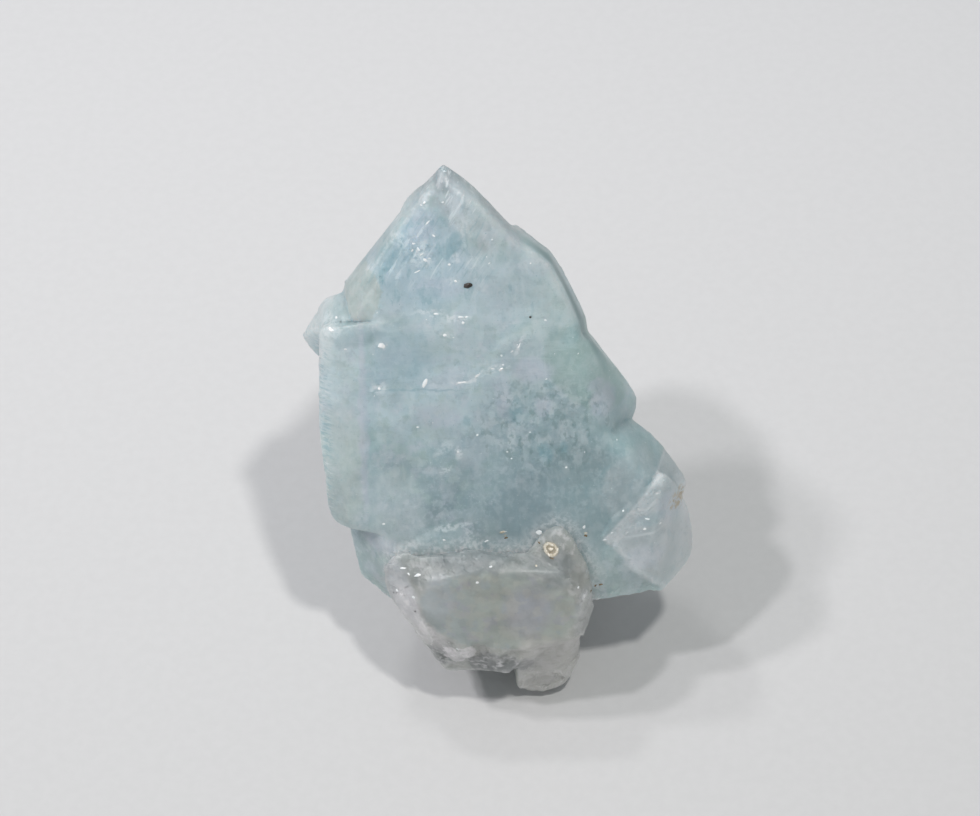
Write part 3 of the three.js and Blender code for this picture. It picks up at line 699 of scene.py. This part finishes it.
def lower_brow(skin):
    """Draws the broken edge under the face down to meet the toe, and the foot stays put."""
    for vertex in skin.data.vertices:
        across, _, up = along_blade(vertex.co)
        under = 0.25 * fade(across, -5.5, -3.5) + 0.75 * fade(across, -2.2, 0.3)
        under *= fade(across, 3.2, 1.8) * fade(up, 9.8, 7.4) * fade(vertex.co.z / MM, 0.6, 4)
        vertex.co.z -= BROW_DROP * MM * under
        inner_side = fade(across, 0.4, 1.6) * fade(across, 4.4, 2.8) * fade(up, 9, 7)
        vertex.co.x -= TOE_SPREAD * MM * inner_side
    skin.data.update()


def surface_of(piece):
    """A piece's surface, to look up the nearest place on it or where a ray meets it."""
    return BVHTree.FromObject(piece, bpy.context.evaluated_depsgraph_get())


def close_seam(skin, neighbour):
    """Brings the quartz up to the crystal that it holds, in a hollow curve along the seam."""
    surface = surface_of(neighbour)
    normals = [vertex.normal.copy() for vertex in skin.data.vertices]
    for vertex, outward in zip(skin.data.vertices, normals):
        nearest, upright, _, distance = surface.find_nearest(vertex.co, FLARE_REACH * MM)
        if nearest is None:
            continue
        aside = outward - upright * outward.dot(upright)
        vertex.co += aside * MM * FLARE * (1 - distance / MM / FLARE_REACH) ** 2
        towards = (nearest - vertex.co).normalized()
        share = fade(distance / MM, SEAM_REACH, 0.35)
        vertex.co += towards * share * ((nearest - vertex.co).length + GROWN_INTO * MM)
    skin.data.update()


def mark_contact(skin, neighbour, reach):
    """Keeps how near the crystal's skin comes to the quartz, where the beryl is crushed white."""
    surface = surface_of(neighbour)
    near = []
    for vertex in skin.data.vertices:
        distance = surface.find_nearest(vertex.co, reach * MM)[3]
        near.append(0 if distance is None else fade(distance / MM, reach, 0.1))
    contact = skin.data.attributes.new("contact", "FLOAT", "POINT")
    contact.data.foreach_set("value", near)


QUARTZ_GREY = shade_of((178, 185, 179))
QUARTZ_SMOKE = shade_of((170, 175, 169))
QUARTZ_BLUE = shade_of((172, 184, 191))
QUARTZ_LILAC = shade_of((176, 174, 188))
QUARTZ_WHITE = shade_of((232, 229, 231))
QUARTZ_BLUSH = shade_of((188, 188, 180))
QUARTZ_RIM = shade_of((181, 182, 177))
QUARTZ_DARK = shade_of((128, 138, 142))
QUARTZ_MIST = shade_of((202, 206, 214))
QUARTZ_GOLD = shade_of((206, 192, 164))
QUARTZ_OPTICS = {
    "ior": 1.54, "scatter": (1.0, 1.0, 1.0), "clear": QUARTZ_WHITE, "clear_roughness": 0.3,
    "depth": shade_of((196, 200, 198)), "density": 100.0,
}


def quartz_material():
    """A grey greasy break in front, a whitish chipped rim round it, smoky quartz behind, and painted
    shade where the rim turns up and under the face.
    """
    material, place = bare_material("grey quartz")
    across, back, up = blade_axes(place)
    front = place.node("CombineXYZ", inputs={"X": across, "Y": up, "Z": 1.0})
    face = ragged(front, place, 0.9, 0.4)
    crooked = ragged(front, place, 0.6, 0.5)
    flat = patch(crooked, (-0.5, 12.9), (5.4, 3.2), -6, soft=0.06) * back.between(-1, -1.8)
    near = back.between(1.5, 0.5)
    far = 1 - near
    rim = 1 - flat
    colour = place.node("ValToRGB", {"stops": [
        (0.25, QUARTZ_SMOKE), (0.5, QUARTZ_GREY), (0.8, QUARTZ_BLUSH),
    ]}, {0: grain(place, 2.4, detail=4)})
    # Blue and lilac blotches in the break, darker flakes, and smoky patches on the far side.
    blotches = grain(place, 1.3, detail=4)
    left_half = across.between(-1, -4) * 0.4
    colour = colour.tinted(QUARTZ_BLUE, left_half.most(blotches.between(0.56, 0.64) * 0.4))
    lilac = patch(face, (1.6, 12.9), (1.5, 1.9), -15, soft=0.5) * flat
    colour = colour.tinted(QUARTZ_LILAC, (lilac * 0.45).most(blotches.between(0.44, 0.36) * 0.4))
    flakes = shards(place, 0.6)
    colour = colour.tinted(QUARTZ_BLUSH, flakes.between(0.36, 0.34) * 0.35)
    colour = colour.tinted(QUARTZ_DARK, flakes.between(0.68, 0.7) * 0.1)
    colour = colour.tinted(QUARTZ_RIM, rim * (near * 0.5 + 0.2))
    smoky = grain(place, 2, detail=4, rough=0.6).between(0.5, 0.62) * far
    colour = colour.tinted(QUARTZ_DARK, smoky * 0.6)
    toe = up.between(11, 9.5) * across.between(0.6, 1.4)
    colour = colour.tinted(QUARTZ_BLUSH, toe * 0.8)
    # Painted shade where the upper rim turns up, on skin that looks up, at the horn's foot and
    # under the face and toe; and mist lies along the left side.
    quartz_painted_shade = patches(face, [
        (3.5, 16.1, 1, 1.2, 0, 0.58), (-2.4, 16.6, 3, 0.7, 3, 0.75), (1, 16.6, 1.5, 0.8, 0, 0.3),
        (-5.1, 15.4, 1.3, 0.4, 12, 0.45), (1.3, 15.95, 1.8, 0.4, 3, 0.45),
        (-6.9, 16.6, 0.9, 0.7, 0, 0.4), (1.7, 5.2, 0.9, 1.4, 0, 0.35), (0.1, 7, 1.9, 1, 0, 0.3),
    ], 0.6)
    colour = colour.tinted(QUARTZ_DARK, (facing_up(place) * 0.5).most(quartz_painted_shade) * near)
    mist = patches(face, [
        (-7.2, 14, 0.9, 2.4, 20, 0.45), (-4.6, 13.8, 1, 1.6, 0, 0.3), (5.5, 12, 0.7, 2, 0, 0.2),
    ])
    colour = colour.tinted(QUARTZ_MIST, mist * near)
    # The whitish chips of the rim, and glassy broken edges under the face, darkened partly as
    # clearer quartz and partly as painted shade under the lump.
    crushed = grain(place, 0.6, detail=4, rough=0.65).between(0.46, 0.58)
    left_rim = patch(face, (-5.8, 11.5), (3.1, 1.2), -62, soft=0.3) * rim * near
    white_chip = patches(crooked, [(-3.5, 8.4, 0.8, 1.1, 20, 1), (-2.7, 9, 0.6, 1, 0, 1)], 0.06) * near
    glassy = patches(crooked, [
        (-0.6, 7.2, 1.9, 1.8, 0, 1), (0.8, 6.8, 1.2, 1.2, -40, 1), (-4.8, 7.9, 0.8, 1.1, 0, 1),
    ], 0.1) * near
    # Painted shade in part: the glassy edges under the lump are darkened.
    colour = colour.tinted(QUARTZ_DARK, glassy * 0.35)
    ridge = patch(face, (4.3, 17.4), (0.3, 1.6), 35, soft=0.4)
    # Less whitening where shade is painted.
    whitish = (rim * crushed * (1 - quartz_painted_shade) * 0.22).most(ridge * crushed * 0.4)
    whitish = whitish.most(left_rim * (crushed * 0.25 + 0.45))
    whitish = whitish.most(white_chip * (crushed * 0.35 + 0.6)).most(toe * (crushed * 0.2 + 0.25))
    splinters = grain(place, 0.45, 3, (1.4, 1, 0.6)).between(0.54, 0.6)
    healed = abs(grain(place, 3, detail=4) - 0.5).between(0.03, 0.005)
    whitish = whitish.most(healed.most(blotches.between(0.4, 0.3)) * (crushed * 0.4 + 0.2) * far)
    whitish = whitish.most(glassy * splinters * 0.65)
    colour = colour.tinted(QUARTZ_WHITE, whitish)
    colour = colour.tinted(QUARTZ_GOLD, patch(front, (3.1, 17.25), (0.5, 0.46), soft=0.2) * near * 0.7)
    fine = grain(place, 0.14, detail=2)
    greasy = patch(front, (-0.5, 12.9), (5.4, 3.2), -6, soft=0.1)
    bump = place.node("Bump", inputs={
        "Strength": 0.3, "Distance": 0.05 * MM,
        "Height": fine * 0.6 + grain(place, 0.5, 2) + crushed * (1 - greasy),
    })
    polish = grain(place, 0.7, detail=2).between(0.35, 0.65, 0.3, 0.5)
    clear = grain(place, 1.5, detail=3).between(0.4, 0.7, 0.08, 0.25)
    clarity = clear.most(glassy * 0.4).most(smoky * 0.4) * (1 - whitish)
    cloudy_stone(place, colour, polish, bump, clarity, QUARTZ_OPTICS)
    return material


quartz = fine_skin("quartz_matrix", octree_depth=7, octree_scale=0.95)
quartz.name = "quartz_lump"
lower_brow(quartz)
rub_down(quartz, QUARTZ_RUBBING, softness_of_quartz)
carve(quartz, relief_of_quartz, EDGE_SPREAD)
close_seam(quartz, beryl)
mark_contact(beryl, quartz, CRUSHED_REACH)
quartz.data.materials.clear()
quartz.data.materials.append(quartz_material())
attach(quartz, "root")
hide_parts("quartz_matrix")


# --- The dark specks -----------------------------------------------------------------------
# Two grains of black tourmaline caught in the blade's face, the larger one half a millimetre
# across. Each is a lump with flat sides, sunk to half its depth in the beryl.

# Centre across and up, half the width and height, and turn from across.
DARK_SPECKS = [(-2.5, 36.8, 0.32, 0.21, 12), (1.6, 34.4, 0.09, 0.08, 0)]
TOURMALINE = shade_of((38, 32, 28))
SPECK_CORNERS = 40
SPECK_DEPTH = 0.7

SKINS = [surface_of(beryl), surface_of(quartz)]


def on_front(across, up):
    """The place and outward direction of whichever piece faces the front at a point."""
    start = on_blade(across, -15, up)
    inward = (on_blade(across, 0, up) - start).normalized()
    hits = [skin.ray_cast(start, inward) for skin in SKINS]
    place, normal, _, _ = min((hit for hit in hits if hit[0] is not None), key=lambda hit: hit[3])
    return place, normal


def lump_corners(rng, radii, count):
    """Corners of a small angular lump, around its own centre."""
    corners = []
    for _ in range(count):
        way = Vector((rng.gauss(0, 1), rng.gauss(0, 1), rng.gauss(0, 1))).normalized()
        corners.append(Vector(part * radius * MM for part, radius in zip(way, radii)))
    return corners


def facing(normal, turn):
    """A rotation whose own up axis follows the surface's outward direction."""
    return normal.to_track_quat("Z", "Y").to_matrix() @ Matrix.Rotation(turn, 3, "Z")


def grains_piece(name, lumps, material):
    """One piece out of many angular grains, each given as its own corners."""
    bm = bmesh.new()
    for corners in lumps:
        verts = [bm.verts.new(corner) for corner in corners]
        hull = bmesh.ops.convex_hull(bm, input=verts)
        inside = {item for item in hull["geom_interior"] if isinstance(item, bmesh.types.BMVert)}
        bmesh.ops.delete(bm, geom=list(inside), context="VERTS")
    mesh = bpy.data.meshes.new(name)
    bm.to_mesh(mesh)
    bm.free()
    mesh.materials.append(material)
    grains = bpy.data.objects.new(name, mesh)
    show(grains)
    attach(grains, "root")
    return grains


def grain_material(name, colour, other_colour, roughness):
    """A material for tiny grains: two colours in clouds, and an uneven gloss."""
    material, place = bare_material(name)
    mixed = place.node("Mix", {"data_type": "RGBA"}, {
        0: grain(place, 0.2).between(0.35, 0.65), 6: colour, 7: other_colour,
    }, output=2)
    gloss = grain(place, 0.1).between(0.3, 0.7, roughness, roughness + 0.2)
    body = place.node("BsdfPrincipled", inputs={"Base Color": mixed, "Roughness": gloss, "IOR": 1.6})
    body.feeds("Surface")
    return material


speck_rng = random.Random(4)
speck_lumps = []
for across, up, half_width, half_height, turn in DARK_SPECKS:
    place, normal = on_front(across, up)
    turned = facing(normal, math.radians(turn))
    radii = (half_width, half_height, half_height * SPECK_DEPTH)
    corners = lump_corners(speck_rng, radii, SPECK_CORNERS)
    speck_lumps.append([place + turned @ corner for corner in corners])
grains_piece("tourmaline_specks", speck_lumps, grain_material(
    "black tourmaline", TOURMALINE, shade_of((60, 48, 40)), 0.3))


# --- The cleavage glints -------------------------------------------------------------------
# Painted glints: white glossy scales where the skin of the beryl and quartz is cracked up into
# tiny clean plates. Their near-white colour paints the glint; their gloss throws some light back.
# Each is a thin scale a tenth to half a millimetre wide.

# Across, up, half the length, half the width, and turn from across.
PAINTED_GLINT_SPOTS = [
    (-8.2, 32.5, 0.28, 0.25, 0), (-5.4, 29.6, 0.4, 0.17, 68), (-4, 33.2, 0.17, 0.15, 0),
    (-2.8, 34.1, 0.13, 0.12, 0), (-11.5, 33.6, 0.22, 0.14, -10), (-11.2, 34, 0.12, 0.1, 0),
    (-10.6, 32.2, 0.12, 0.1, 0), (-8.4, 29.3, 0.13, 0.12, 0), (-2.9, 29.6, 0.34, 0.08, 5),
    (-1.9, 30.1, 0.28, 0.09, 45), (-0.9, 30.6, 0.15, 0.1, 0), (-0.3, 30.5, 0.2, 0.15, 20),
    (-0.2, 30.9, 0.1, 0.09, 0), (-0.3, 31.6, 0.09, 0.08, 0), (0.9, 32.4, 0.28, 0.07, 65),
    (0.4, 31.9, 0.14, 0.07, 40), (-5.9, 26.2, 0.12, 0.1, 0), (-1.9, 25.5, 0.1, 0.09, 0),
    (-4.6, 34.7, 0.2, 0.08, 0), (-3, 34.5, 0.24, 0.07, -5), (-5.7, 39.4, 0.18, 0.07, -60),
    (-5.3, 38.6, 0.2, 0.12, -40), (-5.5, 39, 0.17, 0.08, 30), (-5, 38.7, 0.12, 0.08, 0),
    (-6, 39.8, 0.12, 0.08, 0), (-6.1, 39.3, 0.14, 0.08, 50), (-5.8, 37.8, 0.26, 0.06, 25),
    (-3.7, 38.3, 0.12, 0.11, 0), (-3.3, 37.1, 0.13, 0.11, 0), (-4.1, 42.7, 0.1, 0.09, 0),
    (-5.3, 42.6, 0.14, 0.09, 60), (-5.1, 41.3, 0.24, 0.06, 50), (-5.5, 42.4, 0.1, 0.07, 0),
    (-4.7, 40.4, 0.12, 0.07, -40), (-2.6, 34.5, 0.12, 0.08, 0), (2.6, 34.1, 0.1, 0.08, 0),
    (1.6, 38.2, 0.07, 0.06, 0), (-0.9, 40, 0.08, 0.06, 0), (-1.1, 38.4, 0.1, 0.05, 30),
    (0.1, 24.1, 0.09, 0.08, 0), (-3.2, 24.2, 0.1, 0.09, 90), (-8.3, 18.6, 0.12, 0.1, 0),
    (0.4, 23.6, 0.08, 0.07, 0), (4.1, 22.9, 0.1, 0.09, 0), (6.8, 17.2, 0.18, 0.14, 40),
    (7.3, 17.8, 0.12, 0.1, 0), (9.7, 18.9, 0.18, 0.08, 0), (9.5, 18.1, 0.14, 0.12, 0),
    (10.6, 18.3, 0.14, 0.09, 0), (8, 19.6, 0.12, 0.07, 50), (-7.4, 13.9, 0.15, 0.14, 0),
    (-6.3, 13.8, 0.15, 0.14, 0), (-1.9, 15.2, 0.13, 0.12, 0), (-4.2, 17.3, 0.13, 0.12, 0),
    (-6, 15.4, 0.26, 0.13, 35), (-7, 15.7, 0.26, 0.1, 15), (-6.6, 15.4, 0.16, 0.08, -20),
    (-1.3, 17, 0.2, 0.07, 30), (-1, 16.3, 0.12, 0.09, 0), (5, 14.4, 0.12, 0.1, 0),
    (-3.3, 9.6, 0.16, 0.15, 0), (2.3, 17.75, 0.22, 0.2, 0), (5.4, 18.2, 0.18, 0.12, 60),
    (-3.9, 10, 0.1, 0.07, 0),
]
SCALE_THICKNESS = 0.3
SCALE_CORNERS = 22
LONE_PAINTED_GLINTS = 90
FLECK_TILT = 0.3


def scale_corners(rng, place, normal, half_length, half_width, turn):
    """A thin angular scale lying a little askew on the skin."""
    turned = facing(normal, turn)
    askew = Matrix.Rotation(rng.uniform(-FLECK_TILT, FLECK_TILT), 3, "X")
    radii = (half_length, half_width, half_width * SCALE_THICKNESS)
    corners = lump_corners(rng, radii, SCALE_CORNERS)
    return [place + turned @ askew @ corner for corner in corners]


fleck_rng = random.Random(11)
glint_lumps = []
for across, up, half_length, half_width, turn in PAINTED_GLINT_SPOTS:
    glint_lumps.append(scale_corners(
        fleck_rng, *on_front(across, up), half_length, half_width, math.radians(turn)))
# Lone painted glints, scattered over the beryl's skin.
for _ in range(LONE_PAINTED_GLINTS):
    polygon = fleck_rng.choice(beryl.data.polygons)
    size = fleck_rng.uniform(0.03, 0.09)
    glint_lumps.append(scale_corners(
        fleck_rng, polygon.center.copy(), polygon.normal.copy(), size,
        size * fleck_rng.uniform(0.5, 0.9), fleck_rng.uniform(0, math.tau)))
grains_piece("painted_glint_scales", glint_lumps, grain_material(
    "white painted glints", shade_of((252, 252, 252)), shade_of((240, 246, 248)), 0.08))


# --- The mica ------------------------------------------------------------------------------
# Small silvery and pale gold books of muscovite mica where the quartz horn meets the blade,
# and a few brown-gold ones by the right end of the lump; one thin brown book under the ring is
# painted shadow. Each is a short stack of leaves.

# A ring of books lies around the foot of the horn, and a few more are scattered.
RING_STEPS = 13
MICA_BOOKS = [
    (3.1 + 0.4 * math.cos(turn), 17.25 + 0.36 * math.sin(turn), 0.19, 0.11, math.degrees(turn) + 75)
    for turn in (math.tau * step / RING_STEPS for step in range(RING_STEPS))
] + [
    (3.1, 17.3, 0.2, 0.16, 0), (-0.2, 17.75, 0.24, 0.14, 15), (0, 17.5, 0.12, 0.08, 60),
    (2.1, 16.2, 0.12, 0.09, 0), (5.5, 17.7, 0.12, 0.12, 0),
]
# Brown-gold books; the last, thin one under the ring is painted shadow.
BROWN_BOOKS_AND_SHADOW = [
    (5.9, 13.5, 0.2, 0.12, 0), (6.6, 13.5, 0.18, 0.1, 15), (6.25, 13.4, 0.14, 0.09, 40),
    (5.5, 17.5, 0.14, 0.12, 0), (0.05, 17.3, 0.14, 0.08, 30), (2.3, 17.45, 0.12, 0.07, 0),
    (3.15, 16.68, 0.18, 0.06, 0),
]


def mica_piece(name, books, material, seed):
    """Books of mica in one piece, each lying a little askew where the list puts it."""
    rng = random.Random(seed)
    lumps = [
        scale_corners(rng, *on_front(across, up), half_length, half_width, math.radians(turn))
        for across, up, half_length, half_width, turn in books
    ]
    return grains_piece(name, lumps, material)


mica_piece("silver_mica", MICA_BOOKS, grain_material(
    "silver mica", shade_of((226, 221, 208)), shade_of((202, 192, 170)), 0.3), 21)
mica_piece("brown_mica_and_painted_shadow", BROWN_BOOKS_AND_SHADOW, grain_material(
    "brown mica and painted shadow", shade_of((150, 130, 96)), shade_of((84, 70, 50)), 0.2), 22)


# --- The floor, the light and the camera ---------------------------------------------------
# A matt white board under the stone, lit softly from the whole room and by two lamps in
# front of it, one over each shoulder.

FLOOR_SIZE = 1.2
# The board runs from the far colour to the near one: painted shade, darker at the front.
BOARD_FAR = (0.89, 0.885, 0.895, 1.0)
BOARD_NEAR = (0.63, 0.63, 0.63, 1.0)
ROOM_LIGHT = 0.28
ROOM_COLOUR = (0.94, 1.0, 1.03, 1.0)
OPEN_FLOOR_LIGHT = 0.94
# How far each lamp leans over the stone, its height and its share of the light, its width, tint.
LAMPS = {
    "right lamp": ((0.15, -0.33), 250, 0.29, 14, (1, 0.985, 0.95)),
    "left lamp": ((-0.42, -0.30), 260, 0.20, 16, (1, 0.975, 0.99)),
    "far left lamp": ((-0.55, -0.13), 300, 0.16, 26, (1, 0.975, 0.99)),
    "back lamp": ((-0.30, 0.22), 300, 0.09, 30, (1, 1, 1)),
}


def floor_material():
    """Matt board, faintly mottled, with painted shade that makes it darker towards the front."""
    material, place = bare_material("white board")
    mottled = grain(place, 0.8, detail=3).between(0.3, 0.7)
    depth = place.part("Y") / MM
    colour = place.node("ValToRGB", {"stops": [(0.0, BOARD_NEAR), (1.0, BOARD_FAR)]}, {
        0: mottled * 0.06 + depth.between(-60, 95) * 0.94,
    })
    paper = place.node("BsdfPrincipled", inputs={"Base Color": colour, "Roughness": 0.85})
    paper.feeds("Surface")
    return material


board_mesh = bpy.data.meshes.new("board")
half = FLOOR_SIZE / 2
board_mesh.from_pydata([(-half, -half, 0), (half, -half, 0), (half, half, 0), (-half, half, 0)], [],
                       [(0, 1, 2, 3)])
board = bpy.data.objects.new("board", board_mesh)
show(board)
board_mesh.materials.append(floor_material())

for lamp_name, (slope, height, share, width, tint) in LAMPS.items():
    lamp = bpy.data.lights.new(lamp_name, "AREA")
    lamp.shape = "DISK"
    lamp.size = width * MM
    lamp.color = tint
    aim = Vector((slope[0], slope[1], 1.0))
    distance = height * MM * aim.length
    lamp.energy = share * OPEN_FLOOR_LIGHT * math.pi * math.pi * distance ** 2 * aim.length
    holder = bpy.data.objects.new(lamp_name, lamp)
    holder.location = aim * height * MM
    holder.rotation_euler = aim.to_track_quat("Z", "Y").to_euler()
    show(holder)

room = bpy.data.worlds.new("pale room")
room.use_nodes = True
room.node_tree.nodes["Background"].inputs["Color"].default_value = ROOM_COLOUR
room.node_tree.nodes["Background"].inputs["Strength"].default_value = ROOM_LIGHT
bpy.context.scene.world = room
bpy.context.scene.view_settings.view_transform = "Standard"

CAMERA_TARGET = Vector((-0.00105, 0.004, 0.0183))
CAMERA_DISTANCE = 0.22
CAMERA_HEIGHT = math.radians(50)
SENSOR_WIDTH = 36
LENS_LENGTH = 115.45189
NEAREST_SEEN = 0.001

lens = bpy.data.cameras.new("camera")
lens.sensor_width = SENSOR_WIDTH
lens.lens = LENS_LENGTH
lens.clip_start = NEAREST_SEEN
camera = bpy.data.objects.new("camera", lens)
camera.location = CAMERA_TARGET + CAMERA_DISTANCE * Vector(
    (0, -math.cos(CAMERA_HEIGHT), math.sin(CAMERA_HEIGHT)))
camera.rotation_euler = (math.pi / 2 - CAMERA_HEIGHT, 0, 0)
show(camera)
bpy.context.scene.camera = camera
